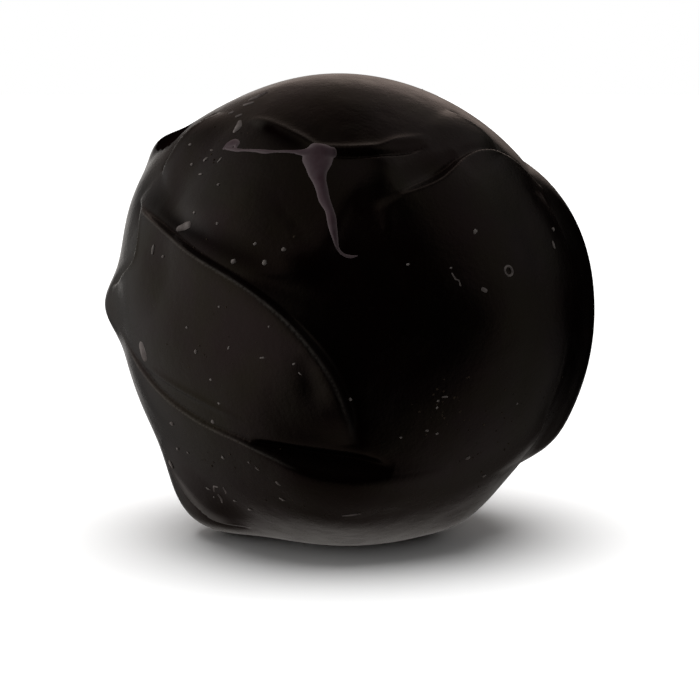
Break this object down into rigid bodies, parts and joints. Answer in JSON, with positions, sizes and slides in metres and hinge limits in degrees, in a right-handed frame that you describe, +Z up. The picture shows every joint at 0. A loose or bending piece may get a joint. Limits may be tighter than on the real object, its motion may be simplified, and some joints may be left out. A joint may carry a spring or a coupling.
{
  "type": "chocolate truffle",
  "caption": "Hand-dipped dark chocolate truffle: a ball with folds and overlaps in its coating, resting on a small flat spot.",
  "frame": {"origin": "centre of the truffle's footprint, on the surface that it rests on", "axes": "+Z up, -Y towards the viewer, +X along the widest side, to the viewer's right"},
  "size_m": [0.0319, 0.0311, 0.0302],
  "materials": {
    "dark_chocolate": "set dark chocolate with a soft sheen"
  },
  "bodies": {
    "root": {"truffle": "dark_chocolate"}
  },
  "joints": []
}
